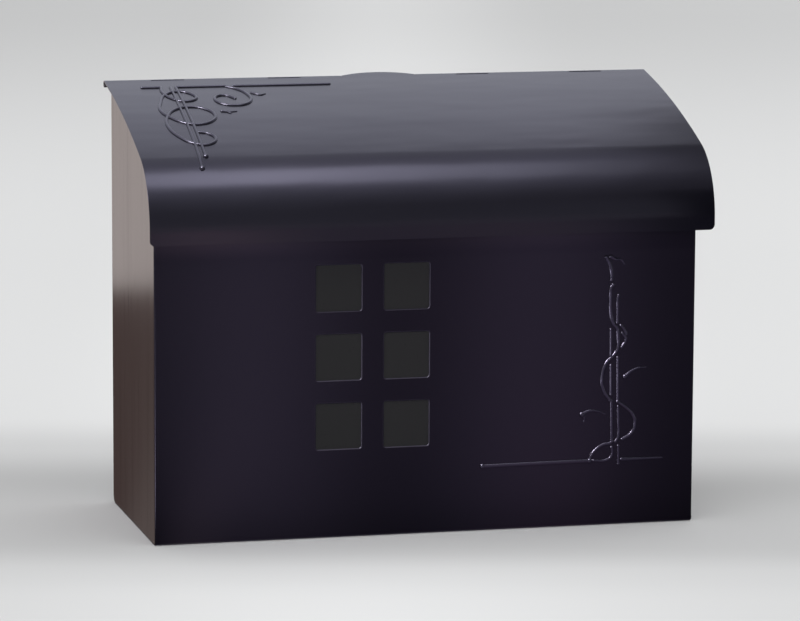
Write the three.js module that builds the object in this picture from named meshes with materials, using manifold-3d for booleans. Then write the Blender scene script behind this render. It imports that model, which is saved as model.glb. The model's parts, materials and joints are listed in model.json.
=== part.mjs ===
// Wall mounted mailbox: a folded sheet-steel box with a curved lid on a rolled hinge.
// Millimetres, +Z up. The wall is the plane y = 0, the front faces -Y, x = 0 is the middle, and the
// origin is halfway up the back plate. The sizes below are measured from the underside of the box.
import * as THREE from 'three';
import { mergeVertices } from 'three/addons/utils/BufferGeometryUtils.js';
import Module from 'manifold-3d';

const wasm = await Module();
wasm.setup();

// Box
const SHEET = 1;
const BOX_WIDTH = 400;
const BOX_DEPTH = 162.5;
const BEND_RADIUS = 4;
const SIDE_FLANGE = 12;
const CORNER_RELIEF = 0.5;
const REAR_FLANGE_TOP = 18;
const RIM_BEND_RADIUS = 2;
const RIM_SLOPE_DEG = 25;
const RIM_RUN = 14;
const PLATE_BOTTOM = 4.5;
const PLATE_TOP = 308;

// Lid, measured on its outer face
const LID_OVERHANG = 7;
const LID_REACH = 22.5;
const LID_SLOPE_DEG = 10.9;
const LID_FLAT_RUN = 14.8;
const CROWN_TURN_DEG = 10.43;
const NOSE_RADIUS = 54;
const APRON_RUN = 8.3;
const APRON_CORNER = 4;
const LID_TO_SIDE_GAP = 1.5;
const TAB_HALF_WIDTH = 28;
const TAB_REACH = 7.8;
const TAB_SHOULDER = 0.6;

// Hinge
const HINGE_Y = -8.3;
const HINGE_RISE = 6.2;
const ROD_RADIUS = 1.4;
const ROD_CLEARANCE = 0.1;
const ROD_INSET = 1;
const ROD_CHAMFER = 0.4;
const CURL_TURN_DEG = 286;
const INNER_KNUCKLE_X = 72;
const OUTER_KNUCKLE_INSET = 40;
const KNUCKLE_LENGTH = 24;
const KNUCKLE_GAP = 0.3;
const KNUCKLE_TURN_DEG = 262;
const KNUCKLE_BEND_RADIUS = 2;
const NOTCH_DEPTH = 2.9;
const TAB_SLIT = 1.5;
const BARREL_CLEARANCE = 2.7;
const BARREL_NOTCH_DROP = 4.2;

// Cut-outs and the pane behind them
const WINDOW = 33;
const WINDOW_PITCH = 50;
const WINDOW_COLUMNS = [-0.5, 0.5];
const WINDOW_ROWS = [-1, 0, 1];
const WINDOWS_FROM_LEFT = 159;
const WINDOWS_Z = 131.4;
const PANE_THICKNESS = 2;
const PANE_BORDER = 13.5;
const PANE_CORNER = 3;
const STUD_BORDER = 7;
const STUD_RADIUS = 1.5;
const STUD_LENGTH = 6.5;
const STUD_BASE_RADIUS = 2.2;
const STUD_BASE = 0.6;
const STUD_HOLE_RADIUS = 2.5;
const NUT_RADIUS = 4.5;
const NUT_RIM = 1;
const NUT_SHEET = 0.5;
const NUT_RISE = 0.9;
const NUT_CLEARANCE = 0.05;

// Bumpers, wall holes, drain holes
const BUMPER_INSET = 50;
const BUMPER_RADIUS = 5;
const BUMPER_ROUND = 1.2;
const BUMPER_DOME = 0.5;
const BUMPER_HEIGHT = 5.1;
const BUMPER_REACH = 7;
const BUMPER_GAP = 0.35;
const BUMPER_SEAT = 0.05;
const WALL_HOLE_INSET = 60;
const KEYHOLE_DROP = 36;
const KEYHOLE_RADIUS = 4.5;
const KEYHOLE_SLOT_RADIUS = 2.4;
const KEYHOLE_RISE = 9;
const LOW_HOLE_Z = 60;
const LOW_HOLE_RADIUS = 3;
const DRAIN_RADIUS = 2.5;
const DRAIN_INSET = 35;
const DRAIN_FROM_FRONT = 17.5;
const DRAIN_FROM_REAR = 18;

// Derived places
const FRONT_INNER = -BOX_DEPTH + SHEET;
const HALF_WIDTH = BOX_WIDTH / 2;
const HALF_LID = HALF_WIDTH + LID_OVERHANG;
const HINGE_Z = PLATE_TOP + HINGE_RISE;
const KNUCKLE_CENTRES = [INNER_KNUCKLE_X, HALF_WIDTH - OUTER_KNUCKLE_INSET];
const WINDOWS_X = WINDOWS_FROM_LEFT - HALF_WIDTH;
const BUMPER_X = HALF_WIDTH - BUMPER_INSET;
const WALL_HOLE_X = HALF_WIDTH - WALL_HOLE_INSET;
const KEYHOLE_Z = PLATE_TOP - KEYHOLE_DROP;
const BARREL_INNER = ROD_RADIUS + ROD_CLEARANCE;
const BARREL_OUTER = BARREL_INNER + SHEET;
const NEST_RADIUS = BEND_RADIUS - SHEET;
const FLANGE_EDGE = HALF_WIDTH - SIDE_FLANGE;
const NOSE_TURN_DEG = 90 - LID_SLOPE_DEG - CROWN_TURN_DEG;
const ORIGIN_HEIGHT = (PLATE_BOTTOM + PLATE_TOP) / 2;
const FAR = 2 * BOX_WIDTH;

const BRONZE = { name: 'dark_bronze', color: 0x3b3338, roughness: 0.42, metalness: 0.85 };
const ZINC = { name: 'zinc_steel', color: 0xb4b6b8, roughness: 0.35, metalness: 1 };
const PANE = { name: 'smoked_pane', color: 0x26282a, roughness: 0.25, metalness: 0 };
const RUBBER = { name: 'black_rubber', color: 0x161616, roughness: 0.9, metalness: 0 };

const rad = THREE.MathUtils.degToRad;
const along = (deg, length) => new THREE.Vector2(Math.cos(rad(deg)) * length, Math.sin(rad(deg)) * length);

// ---- Solids ----

function solidOf(geometry) {
  const bare = geometry.clone();
  bare.deleteAttribute('normal');
  bare.deleteAttribute('uv');
  const merged = mergeVertices(bare, 1e-5);
  return new wasm.Manifold(new wasm.Mesh({
    numProp: 3,
    vertProperties: new Float32Array(merged.attributes.position.array),
    triVerts: new Uint32Array(merged.index.array),
  }));
}

function geometryOf(solid) {
  const mesh = solid.getMesh();
  const geometry = new THREE.BufferGeometry();
  geometry.setAttribute('position', new THREE.BufferAttribute(mesh.vertProperties, 3));
  geometry.setIndex(new THREE.BufferAttribute(mesh.triVerts, 1));
  geometry.computeVertexNormals();
  return geometry;
}

const addAll = (solids) => solids.reduce((sum, solid) => sum.add(solid));
const cutAll = (solid, cuts) => cuts.reduce((left, cut) => left.subtract(cut), solid);

function box(x0, x1, y0, y1, z0, z1) {
  const geometry = new THREE.BoxGeometry(x1 - x0, y1 - y0, z1 - z0);
  geometry.translate((x0 + x1) / 2, (y0 + y1) / 2, (z0 + z1) / 2);
  return solidOf(geometry);
}

// A closed outline in (y, z), pushed from x0 to x1.
function pushAlongX(outline, x0, x1) {
  const shape = new THREE.Shape(outline);
  const geometry = new THREE.ExtrudeGeometry(shape, { depth: x1 - x0, bevelEnabled: false });
  geometry.applyMatrix4(new THREE.Matrix4().set(0, 0, 1, x0, 1, 0, 0, 0, 0, 1, 0, 0, 0, 0, 0, 1));
  return solidOf(geometry);
}

// A shape in (x, z), pushed from y0 to y1.
function pushAlongY(shape, y0, y1) {
  const depth = y1 - y0;
  const geometry = new THREE.ExtrudeGeometry(shape, { depth, bevelEnabled: false, curveSegments: 10 });
  geometry.applyMatrix4(new THREE.Matrix4().set(1, 0, 0, 0, 0, 0, -1, y1, 0, 1, 0, 0, 0, 0, 0, 1));
  return solidOf(geometry);
}

// A shape in (x, y), pushed from z0 to z1.
function pushUp(shape, z0, z1) {
  const geometry = new THREE.ExtrudeGeometry(shape, { depth: z1 - z0, bevelEnabled: false });
  geometry.translate(0, 0, z0);
  return solidOf(geometry);
}

// A profile of (radius, distance) pairs turned about +Y, standing on its own origin.
function turned(profile, segments) {
  const points = profile.map(([r, h]) => new THREE.Vector2(r, h));
  return solidOf(new THREE.LatheGeometry(points, segments));
}

function roundedPanel(x, z, halfX, halfZ, radius) {
  const shape = new THREE.Shape();
  shape.moveTo(x - halfX + radius, z - halfZ);
  shape.lineTo(x + halfX - radius, z - halfZ);
  shape.absarc(x + halfX - radius, z - halfZ + radius, radius, -Math.PI / 2, 0);
  shape.absarc(x + halfX - radius, z + halfZ - radius, radius, 0, Math.PI / 2);
  shape.absarc(x - halfX + radius, z + halfZ - radius, radius, Math.PI / 2, Math.PI);
  shape.absarc(x - halfX + radius, z - halfZ + radius, radius, Math.PI, Math.PI * 1.5);
  return shape;
}

// ---- Folded sheet ----

// Walks runs and turns from a point, and returns the line at a distance to the left of the walk.
// Each step is { run } or { turn, radius, pieces }; a positive turn is to the left.
function walk(start, headingDeg, steps, offset = 0) {
  const at = start.clone();
  let heading = headingDeg;
  const line = [at.clone().add(along(heading + 90, offset))];
  for (const step of steps) {
    if (step.run) {
      at.add(along(heading, step.run));
      line.push(at.clone().add(along(heading + 90, offset)));
      continue;
    }
    const side = Math.sign(step.turn);
    const centre = at.clone().add(along(heading + 90 * side, step.radius));
    for (let i = 1; i <= step.pieces; i += 1) {
      const turned = heading + step.turn * i / step.pieces;
      const rim = along(turned - 90 * side, step.radius - side * offset);
      line.push(centre.clone().add(rim));
    }
    at.copy(centre).add(along(heading + step.turn - 90 * side, step.radius));
    heading += step.turn;
  }
  return line;
}

// The outline of a sheet that lies on the left (+1) or right (-1) of a walk.
function sheetOutline(start, headingDeg, steps, side) {
  const face = walk(start, headingDeg, steps);
  const back = walk(start, headingDeg, steps, side * SHEET);
  return face.concat(back.reverse());
}

// ---- Lid line, measured from the hinge ----

const lidHeading = 180 + LID_SLOPE_DEG;
const lidStart = along(90 + LID_SLOPE_DEG, BARREL_OUTER);

// The crown is a shallow arc whose radius makes the apron stand LID_REACH in front of the box.
function crownRadius() {
  const slope = Math.sin(rad(LID_SLOPE_DEG));
  const noseSlope = Math.sin(rad(LID_SLOPE_DEG + CROWN_TURN_DEG));
  const reach = BOX_DEPTH + LID_REACH + HINGE_Y + lidStart.x;
  const flat = LID_FLAT_RUN * Math.cos(rad(LID_SLOPE_DEG));
  return (reach - flat - NOSE_RADIUS * (1 - noseSlope)) / (noseSlope - slope);
}

// The lid's steps from a point on its outer face, that far in front of the hinge (negative: behind).
function lidSteps(from) {
  return [
    { run: LID_FLAT_RUN - from },
    { turn: CROWN_TURN_DEG, radius: crownRadius(), pieces: 14 },
    { turn: NOSE_TURN_DEG, radius: NOSE_RADIUS, pieces: 20 },
    { run: APRON_RUN },
  ];
}

// The middle of the nose's arc, measured in the box's (y, z).
function noseCentre() {
  const crownEnd = walk(lidStart, lidHeading, lidSteps(0).slice(0, 2)).at(-1);
  return crownEnd
    .add(along(270 + LID_SLOPE_DEG + CROWN_TURN_DEG, NOSE_RADIUS))
    .add(new THREE.Vector2(HINGE_Y, HINGE_Z));
}

const lidPoint = (from) => lidStart.clone().add(along(lidHeading, from));
const lidOutlineFrom = (from) => sheetOutline(lidPoint(from), lidHeading, lidSteps(from), 1);

function curledLidOutline() {
  const curl = { turn: CURL_TURN_DEG, radius: BARREL_OUTER, pieces: 30 };
  const first = lidHeading - CURL_TURN_DEG;
  return sheetOutline(along(first - 90, BARREL_OUTER), first, [curl, ...lidSteps(0)], 1);
}

// The region of the box below the lid, a gap under its inner face.
function underLid(gap) {
  const hinge = new THREE.Vector2(HINGE_Y, HINGE_Z);
  const line = walk(lidStart, lidHeading, lidSteps(0), SHEET + gap).map((point) => point.add(hinge));
  const rear = new THREE.Vector2(FAR, line[0].y);
  const low = [new THREE.Vector2(line.at(-1).x, -FAR), new THREE.Vector2(FAR, -FAR)];
  return [rear, ...line, ...low];
}

// ---- Lid ----

function tabPlan() {
  const shoulder = lidPoint(-TAB_SHOULDER).x;
  const tip = lidPoint(-TAB_REACH).x;
  const rise = tip - shoulder;
  const radius = (TAB_HALF_WIDTH ** 2 + rise ** 2) / (2 * rise);
  const half = Math.asin(TAB_HALF_WIDTH / radius);
  const shape = new THREE.Shape();
  shape.moveTo(TAB_HALF_WIDTH, -FAR);
  for (let i = 0; i <= 16; i += 1) {
    const angle = half * (1 - i / 8);
    shape.lineTo(Math.sin(angle) * radius, tip - radius + Math.cos(angle) * radius);
  }
  shape.lineTo(-TAB_HALF_WIDTH, -FAR);
  return shape;
}

// The lid's rear edge from the middle outwards: where each stretch ends, and whether it is curled.
function lidStretches() {
  const stretches = [{ to: TAB_HALF_WIDTH + TAB_SLIT, curled: false }];
  for (const centre of KNUCKLE_CENTRES) {
    const half = KNUCKLE_LENGTH / 2 + KNUCKLE_GAP;
    stretches.push({ to: centre - half, curled: true });
    stretches.push({ to: centre + half, curled: false });
  }
  stretches.push({ to: HALF_LID, curled: true });
  return stretches;
}

function lidFrontShape() {
  const bottom = walk(lidStart, lidHeading, lidSteps(0)).at(-1).y;
  const half = (FAR - bottom) / 2;
  const round = roundedPanel(0, bottom + half, HALF_LID, half, APRON_CORNER);
  return pushAlongY(round, -FAR, FAR);
}

function lidSheet() {
  const tab = pushAlongX(lidOutlineFrom(-TAB_REACH), -TAB_HALF_WIDTH, TAB_HALF_WIDTH);
  const parts = [tab.intersect(pushUp(tabPlan(), -FAR, FAR))];
  const curled = curledLidOutline();
  const plain = lidOutlineFrom(NOTCH_DEPTH);
  let from = TAB_HALF_WIDTH;
  for (const stretch of lidStretches()) {
    const outline = stretch.curled ? curled : plain;
    parts.push(pushAlongX(outline, from, stretch.to), pushAlongX(outline, -stretch.to, -from));
    from = stretch.to;
  }
  return addAll(parts).intersect(lidFrontShape());
}

function hingeRod() {
  const half = HALF_LID - ROD_INSET;
  return turned([
    [0, -half],
    [ROD_RADIUS - ROD_CHAMFER, -half],
    [ROD_RADIUS, -half + ROD_CHAMFER],
    [ROD_RADIUS, half - ROD_CHAMFER],
    [ROD_RADIUS - ROD_CHAMFER, half],
    [0, half],
  ], 28);
}

// ---- Front rim, under the lid's nose ----

const rimUp = along(90 + RIM_SLOPE_DEG, 1);

// Where a bumper stands on the sloping rim, measured from the middle of the rim's bend.
const bumperFoot = rimUp.clone()
  .multiplyScalar(RIM_BEND_RADIUS + BUMPER_SEAT)
  .add(along(RIM_SLOPE_DEG, BUMPER_REACH));

// The front is as high as lets the bumpers end a small gap under the closed lid's nose.
function frontTop() {
  const nose = noseCentre();
  const tip = bumperFoot.clone().addScaledVector(rimUp, BUMPER_HEIGHT);
  const across = RIM_BEND_RADIUS - BOX_DEPTH + tip.x - nose.x;
  const inside = NOSE_RADIUS - SHEET - BUMPER_GAP;
  return nose.y + Math.sqrt(inside ** 2 - across ** 2) - tip.y;
}

const FRONT_TOP = frontTop();

// ---- Box ----

const windowCentres = WINDOW_ROWS.flatMap((row) => WINDOW_COLUMNS.map((column) => (
  [WINDOWS_X + column * WINDOW_PITCH, WINDOWS_Z + row * WINDOW_PITCH])));

function windowCuts() {
  return windowCentres.map(([x, z]) => box(
    x - WINDOW / 2, x + WINDOW / 2,
    -BOX_DEPTH - SHEET, FRONT_INNER + SHEET,
    z - WINDOW / 2, z + WINDOW / 2,
  ));
}

function drainCuts() {
  const cuts = [];
  for (const x of [DRAIN_INSET - HALF_WIDTH, HALF_WIDTH - DRAIN_INSET]) {
    for (const y of [DRAIN_FROM_FRONT - BOX_DEPTH, -DRAIN_FROM_REAR]) {
      const shape = new THREE.Shape().absarc(x, y, DRAIN_RADIUS, 0, Math.PI * 2);
      cuts.push(pushUp(shape, -SHEET, 3 * SHEET));
    }
  }
  return cuts;
}

// The ends of the rim and of the rear flange stop short of the side panels' flanges.
function cornerReliefs() {
  const edge = FLANGE_EDGE - CORNER_RELIEF;
  const rear = -SHEET - BEND_RADIUS - CORNER_RELIEF;
  return [-1, 1].flatMap((side) => {
    const [x0, x1] = side < 0 ? [-FAR, -edge] : [edge, FAR];
    return [
      box(x0, x1, -FAR, FAR, FRONT_TOP, FAR),
      box(x0, x1, rear, FAR, -FAR, REAR_FLANGE_TOP + SHEET),
    ];
  });
}

// One strip, from the rear flange under the box and up the front to the sloping rim.
function frontBottomSheet() {
  const start = new THREE.Vector2(-SHEET, REAR_FLANGE_TOP);
  const bend = { turn: -90, radius: BEND_RADIUS, pieces: 8 };
  const outline = sheetOutline(start, 270, [
    { run: REAR_FLANGE_TOP - BEND_RADIUS },
    bend,
    { run: BOX_DEPTH - SHEET - 2 * BEND_RADIUS },
    bend,
    { run: FRONT_TOP - BEND_RADIUS },
    { turn: RIM_SLOPE_DEG - 90, radius: RIM_BEND_RADIUS, pieces: 6 },
    { run: RIM_RUN },
  ], -1);
  const strip = pushAlongX(outline, -HALF_WIDTH, HALF_WIDTH);
  return cutAll(strip, [...windowCuts(), ...drainCuts(), ...cornerReliefs()]);
}

// A U-shaped outline that nests in the strip, inset by a distance, open far above the box.
function nestedOutline(inset) {
  const rear = -SHEET - inset;
  const bend = { turn: -90, radius: NEST_RADIUS - inset, pieces: 8 };
  return walk(new THREE.Vector2(rear, FAR), 270, [
    { run: FAR - SHEET - NEST_RADIUS },
    bend,
    { run: BOX_DEPTH - 2 * SHEET - 2 * NEST_RADIUS },
    bend,
    { run: FAR - SHEET - NEST_RADIUS },
  ]);
}

function rightSidePanel() {
  const block = pushAlongX(nestedOutline(0), FLANGE_EDGE, HALF_WIDTH);
  const pocket = pushAlongX(nestedOutline(SHEET), FLANGE_EDGE - SHEET, HALF_WIDTH - SHEET);
  const roof = pushAlongX(underLid(LID_TO_SIDE_GAP), FLANGE_EDGE - SHEET, HALF_WIDTH + SHEET);
  const barrelRoom = box(
    0, FAR,
    HINGE_Y - BARREL_OUTER - BARREL_CLEARANCE, FAR,
    HINGE_Z - BARREL_NOTCH_DROP, FAR,
  );
  return block.subtract(pocket).intersect(roof).subtract(barrelRoom);
}

function keyhole(x) {
  const big = new THREE.Shape().absarc(x, KEYHOLE_Z, KEYHOLE_RADIUS, 0, Math.PI * 2);
  const half = KEYHOLE_RISE / 2 + KEYHOLE_SLOT_RADIUS / 2;
  const slot = roundedPanel(x, KEYHOLE_Z + half, KEYHOLE_SLOT_RADIUS, half, KEYHOLE_SLOT_RADIUS);
  return addAll([big, slot].map((shape) => pushAlongY(shape, -3 * SHEET, SHEET)));
}

function lowHole(x) {
  const shape = new THREE.Shape().absarc(x, LOW_HOLE_Z, LOW_HOLE_RADIUS, 0, Math.PI * 2);
  return pushAlongY(shape, -3 * SHEET, SHEET);
}

// A tongue of the back plate: up the wall, forward under the lid and round the rod.
function knuckleOutline() {
  const start = new THREE.Vector2(0, PLATE_TOP - 2 * SHEET);
  const shelf = HINGE_Z - BARREL_INNER;
  return sheetOutline(start, 90, [
    { run: shelf - KNUCKLE_BEND_RADIUS - start.y },
    { turn: 90, radius: KNUCKLE_BEND_RADIUS, pieces: 6 },
    { run: -HINGE_Y - KNUCKLE_BEND_RADIUS },
    { turn: -KNUCKLE_TURN_DEG, radius: BARREL_INNER, pieces: 28 },
  ], 1);
}

function backPlate() {
  const parts = [box(-HALF_WIDTH, HALF_WIDTH, -SHEET, 0, PLATE_BOTTOM, PLATE_TOP)];
  for (const centre of KNUCKLE_CENTRES) {
    for (const x of [-centre, centre]) {
      parts.push(pushAlongX(knuckleOutline(), x - KNUCKLE_LENGTH / 2, x + KNUCKLE_LENGTH / 2));
    }
  }
  const cuts = [-WALL_HOLE_X, WALL_HOLE_X].flatMap((x) => [keyhole(x), lowHole(x)]);
  return cutAll(addAll(parts), cuts);
}

// ---- Pane and its fasteners, measured from the middle of the cut-outs ----

const studHalfX = WINDOW_PITCH / 2 + WINDOW / 2 + STUD_BORDER;
const studHalfZ = WINDOW_PITCH + WINDOW / 2 + STUD_BORDER;
const STUDS = [
  ['lower_left', -studHalfX, -studHalfZ],
  ['lower_right', studHalfX, -studHalfZ],
  ['upper_left', -studHalfX, studHalfZ],
  ['upper_right', studHalfX, studHalfZ],
];

function windowPane() {
  const halfX = WINDOW_PITCH / 2 + WINDOW / 2 + PANE_BORDER;
  const halfZ = WINDOW_PITCH + WINDOW / 2 + PANE_BORDER;
  const shape = roundedPanel(0, 0, halfX, halfZ, PANE_CORNER);
  for (const [, x, z] of STUDS) {
    shape.holes.push(new THREE.Path().absarc(x, z, STUD_HOLE_RADIUS, 0, Math.PI * 2));
  }
  return pushAlongY(shape, 0, PANE_THICKNESS);
}

function weldStud() {
  return turned([
    [0, 0],
    [STUD_BASE_RADIUS, 0],
    [STUD_BASE_RADIUS, STUD_BASE],
    [STUD_RADIUS, STUD_BASE],
    [STUD_RADIUS, STUD_LENGTH - 0.5],
    [STUD_RADIUS - 0.5, STUD_LENGTH],
    [0, STUD_LENGTH],
  ], 24);
}

function pushNut() {
  const bore = STUD_RADIUS + NUT_CLEARANCE;
  return turned([
    [bore, NUT_RISE],
    [NUT_RADIUS - NUT_RIM, 0],
    [NUT_RADIUS, 0],
    [NUT_RADIUS, NUT_SHEET],
    [NUT_RADIUS - NUT_RIM, NUT_SHEET],
    [bore, NUT_RISE + NUT_SHEET],
    [bore, NUT_RISE],
  ], 24);
}

// ---- Bumpers ----

// A cylinder with a quarter-round shoulder and a low dome on top.
function bumper() {
  const top = BUMPER_RADIUS - BUMPER_ROUND;
  const eaves = BUMPER_HEIGHT - BUMPER_DOME;
  const profile = [[0, 0], [BUMPER_RADIUS, 0]];
  for (let i = 0; i <= 4; i += 1) {
    const angle = Math.PI / 2 * i / 4;
    profile.push([top + BUMPER_ROUND * Math.cos(angle), eaves - BUMPER_ROUND * (1 - Math.sin(angle))]);
  }
  for (let i = 1; i <= 3; i += 1) {
    const share = 1 - i / 3;
    profile.push([top * share, BUMPER_HEIGHT - BUMPER_DOME * share ** 2]);
  }
  return turned(profile, 24);
}

// ---- Assembly ----

function group(parent, x, y, z) {
  const child = new THREE.Group();
  child.position.set(x, y, z);
  parent.add(child);
  return child;
}

function addPiece(parent, name, solid, look) {
  const mesh = new THREE.Mesh(geometryOf(solid), new THREE.MeshStandardMaterial(look));
  mesh.name = name;
  parent.add(mesh);
  return mesh;
}

const mailbox = new THREE.Group();
mailbox.name = 'wall_mounted_mailbox';

const body = group(mailbox, 0, 0, -ORIGIN_HEIGHT);
const sidePanel = rightSidePanel();
addPiece(body, 'front_bottom_sheet', frontBottomSheet(), BRONZE);
addPiece(body, 'side_panel_right', sidePanel, BRONZE);
addPiece(body, 'side_panel_left', sidePanel.mirror([1, 0, 0]), BRONZE);
addPiece(body, 'back_plate', backPlate(), BRONZE);

const windows = group(body, WINDOWS_X, FRONT_INNER, WINDOWS_Z);
addPiece(windows, 'window_pane', windowPane(), PANE);
for (const [place, x, z] of STUDS) {
  addPiece(windows, `pane_stud_${place}`, weldStud(), ZINC).position.set(x, 0, z);
  addPiece(windows, `push_nut_${place}`, pushNut(), ZINC).position.set(x, PANE_THICKNESS, z);
}

for (const [side, x] of [['left', -BUMPER_X], ['right', BUMPER_X]]) {
  const mesh = addPiece(body, `lid_bumper_${side}`, bumper(), RUBBER);
  mesh.position.set(x, RIM_BEND_RADIUS - BOX_DEPTH + bumperFoot.x, FRONT_TOP + bumperFoot.y);
  mesh.rotation.x = rad(90 + RIM_SLOPE_DEG);
}

const lid = group(body, 0, HINGE_Y, HINGE_Z);
addPiece(lid, 'lid_sheet', lidSheet(), BRONZE);
addPiece(lid, 'hinge_rod', hingeRod(), ZINC).rotation.z = -Math.PI / 2;

export default mailbox;
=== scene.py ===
# %% [markdown]
# # A wall mounted mailbox in folded sheet steel
# The box is made of one millimetre steel sheet: a strip that is folded into the front and the bottom, two
# side panels, a back plate for the wall, and a curved lid that swings on a rolled hinge. The solids of
# the box are loaded first as a fixed frame. They carry the sizes and the joint, so each piece that is
# modelled here starts from their corners and rides on one of their bodies. Most of the solids are good as
# they are. Only the front sheet and the lid are folded again, because a glossy bend shows every facet.

# %% Load the frame
import json
import math

import bmesh
import bpy
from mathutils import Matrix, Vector


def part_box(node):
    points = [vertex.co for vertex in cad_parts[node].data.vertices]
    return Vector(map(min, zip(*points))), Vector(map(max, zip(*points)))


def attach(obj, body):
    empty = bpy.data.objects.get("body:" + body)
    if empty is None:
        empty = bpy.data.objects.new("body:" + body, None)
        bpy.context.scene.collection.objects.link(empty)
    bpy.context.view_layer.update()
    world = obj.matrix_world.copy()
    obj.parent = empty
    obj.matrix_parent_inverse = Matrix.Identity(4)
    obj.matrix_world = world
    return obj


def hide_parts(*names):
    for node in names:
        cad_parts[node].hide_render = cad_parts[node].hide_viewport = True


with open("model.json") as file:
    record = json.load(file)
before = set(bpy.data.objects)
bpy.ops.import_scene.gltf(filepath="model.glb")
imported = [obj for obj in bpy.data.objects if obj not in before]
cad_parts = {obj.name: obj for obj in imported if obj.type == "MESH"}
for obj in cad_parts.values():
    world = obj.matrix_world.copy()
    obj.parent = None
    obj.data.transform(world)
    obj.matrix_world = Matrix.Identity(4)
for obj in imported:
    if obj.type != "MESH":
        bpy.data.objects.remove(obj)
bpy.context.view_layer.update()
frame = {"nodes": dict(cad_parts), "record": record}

MM = 0.001

# %% [markdown]
# ## Places taken from the solids
# The sheets are folded along lines in the (y, z) plane, and those lines need a few places: how far the
# front stands from the wall, where the underside is, how wide the box is, and the middle of the hinge.
# They are read from the solids, so that nothing has to be fitted afterwards.

# %% Places
sheet_low, sheet_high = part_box("front_bottom_sheet")
lid_low, lid_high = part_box("lid_sheet")
SHEET = 1 * MM
FRONT_Y = sheet_low[1]
UNDERSIDE = sheet_low[2]
HALF_WIDTH = sheet_high[0]
HALF_LID = lid_high[0]
HINGE_Y, HINGE_Z = frame["record"]["behaviour"]["joints"][0]["pos_m"][1:]
print(f"front {FRONT_Y:.4f}, underside {UNDERSIDE:.5f}, half width {HALF_WIDTH:.3f}")
print(f"hinge at y {HINGE_Y:.4f}, z {HINGE_Z:.5f}, half lid {HALF_LID:.3f}")

# %% [markdown]
# ## Small hand tools
# An operator acts on all that is selected, so each step says first what it works on. `pick` stands in for
# the mouse: it selects vertices, edges or faces by a rule about where their middle is.

# %% Selecting
def take(piece):
    """Selects this piece alone and makes it active."""
    if bpy.context.mode != "OBJECT":
        bpy.ops.object.mode_set(mode="OBJECT")
    bpy.ops.object.select_all(action="DESELECT")
    piece.select_set(True)
    bpy.context.view_layer.objects.active = piece


def edit(piece):
    take(piece)
    bpy.ops.object.mode_set(mode="EDIT")


def leave():
    bpy.ops.object.mode_set(mode="OBJECT")


def pick(kind, rule):
    """In edit mode, selects what the rule says yes to, and returns how many that is."""
    bpy.ops.mesh.select_mode(type=kind)
    bpy.ops.mesh.select_all(action="DESELECT")
    mesh = bpy.context.object.data
    shape = bmesh.from_edit_mesh(mesh)
    if kind == "VERT":
        chosen = [v for v in shape.verts if rule(v.co)]
    elif kind == "EDGE":
        chosen = [e for e in shape.edges if rule((e.verts[0].co + e.verts[1].co) / 2)]
    else:
        chosen = [f for f in shape.faces if rule(f.calc_center_median())]
    for part in chosen:
        part.select_set(True)
    shape.select_flush_mode()
    bmesh.update_edit_mesh(mesh)
    return len(chosen)


print("selecting is ready")

# %% [markdown]
# A piece starts as a primitive with a name of its own. It ends at the origin, unturned and unscaled, with
# its place in its mesh, so that a pattern in its material stays where it is when the piece moves. A
# modifier is set up and applied in one go, as soon as the shape before it is right.

# %% Starting and settling a piece
def new_primitive(name, add, **settings):
    """A primitive with everything else deselected, under its own name."""
    if bpy.context.mode != "OBJECT":
        bpy.ops.object.mode_set(mode="OBJECT")
    bpy.ops.object.select_all(action="DESELECT")
    add(**settings)
    piece = bpy.context.object
    piece.name = name
    piece.data.name = name
    return piece


def settle(piece):
    """Moves the piece's place, turn and scale into its mesh."""
    take(piece)
    bpy.ops.object.transform_apply(location=True, rotation=True, scale=True)


def apply_modifier(piece, kind, **settings):
    """Adds one modifier, sets it up, and applies it."""
    take(piece)
    step = piece.modifiers.new(kind.lower(), kind)
    for key, value in settings.items():
        setattr(step, key, value)
    bpy.ops.object.modifier_apply(modifier=step.name)


def triangles(piece):
    return sum(len(face.vertices) - 2 for face in piece.data.polygons)


print("hand tools are ready")

# %% [markdown]
# ## Folding a sheet
# A brake folds a sheet along straight lines, so its section is a walk of straight runs and round turns.
# Such a sheet could be a section curve with an extrusion. Here the same walk is made from one edge that
# lies along X: a run extrudes it, and a turn spins it round the middle of the bend, so each bend has its
# true radius.

# %% Walking an edge along a section
def onward(heading, length):
    """A step in the (y, z) plane; the heading is in degrees, counted from +Y towards +Z."""
    return Vector((0, math.cos(math.radians(heading)) * length, math.sin(math.radians(heading)) * length))


def turn_centre(place, heading, turn, radius):
    return place + onward(heading + math.copysign(90, turn), radius)


def after_turn(place, heading, turn, radius):
    centre = turn_centre(place, heading, turn, radius)
    return centre + onward(heading + turn - math.copysign(90, turn), radius)


def start_edge(name, half_length, place):
    """A new piece in edit mode: one edge along X, selected."""
    piece = new_primitive(name, bpy.ops.mesh.primitive_plane_add, size=2 * half_length)
    edit(piece)
    pick("VERT", lambda at: at.y > 0)
    bpy.ops.mesh.delete(type="VERT")
    bpy.ops.mesh.select_mode(type="EDGE")
    bpy.ops.mesh.select_all(action="SELECT")
    bpy.ops.transform.translate(value=(0, place.y + half_length, place.z))
    return piece


def fold(place, heading, steps):
    """Pushes the selected edge along runs (length,) and turns (degrees, radius, pieces)."""
    for step in steps:
        if len(step) == 1:
            move = onward(heading, step[0])
            bpy.ops.mesh.extrude_region_move(TRANSFORM_OT_translate={"value": move})
            place = place + move
            continue
        turn, radius, pieces = step
        centre = turn_centre(place, heading, turn, radius)
        bpy.ops.mesh.spin(steps=pieces, angle=math.radians(-turn), center=centre, axis=(1, 0, 0))
        place = after_turn(place, heading, turn, radius)
        heading += turn
    return place, heading


print("a quarter turn of 4 mm ends at", [round(c, 4) for c in after_turn(Vector(), 270, -90, 4 * MM)])

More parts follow.
